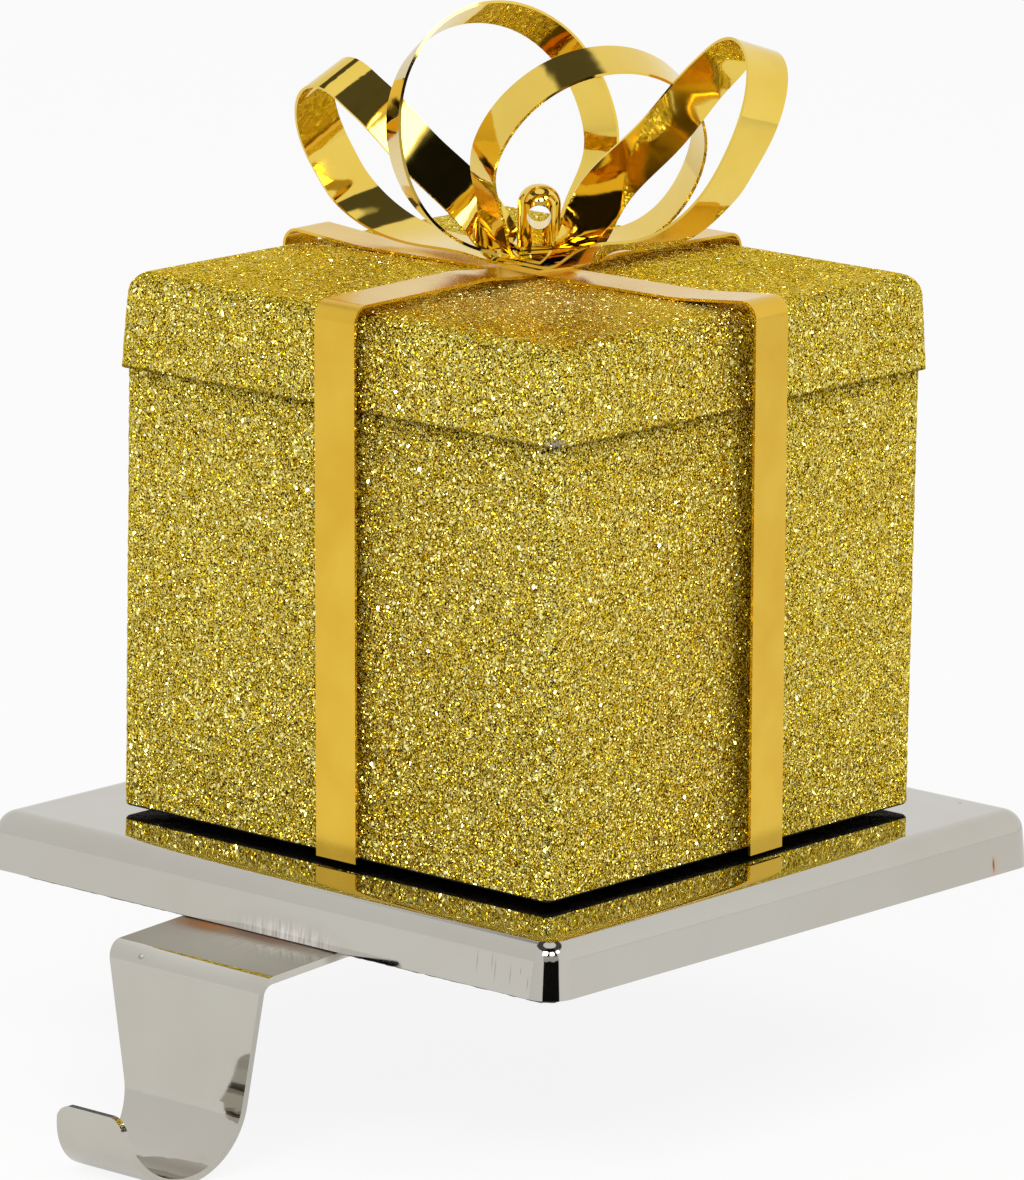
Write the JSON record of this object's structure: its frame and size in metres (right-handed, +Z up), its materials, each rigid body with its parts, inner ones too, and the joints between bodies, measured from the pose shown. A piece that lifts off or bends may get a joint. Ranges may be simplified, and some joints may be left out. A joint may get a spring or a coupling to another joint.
{
  "type": "mantel stocking holder",
  "caption": "Gift-box stocking holder: weighted plated base with a J hook under its front edge, and a glitter box tied with metal ribbons and a looped bow.",
  "frame": {"origin": "middle of the foot pad's underside, which stands on the mantel", "axes": "+Z up; the hook hangs over the mantel's edge towards -Y; +X along the mantel's edge"},
  "size_m": [0.102, 0.1342, 0.146],
  "materials": {
    "plating": "polished nickel plate on pressed steel",
    "iron": "rough cast",
    "felt": "charcoal felt",
    "washer": "matt black",
    "glitter": "gold glitter flake in clear coat over sheet steel",
    "gold": "polished gold plate on thin steel strip",
    "screw": "zinc plated steel"
  },
  "bodies": {
    "root": {"base_shell": "plating", "hook": "plating", "ballast": "iron", "foot_pad": "felt", "box_spacer": "washer", "box_body": "glitter", "box_lid": "glitter", "ribbon_cross": "gold", "ribbon_long": "gold", "bow_loops": "gold", "bow_rings": "gold", "post_nut": "gold", "tie_screw": "screw"}
  },
  "joints": []
}
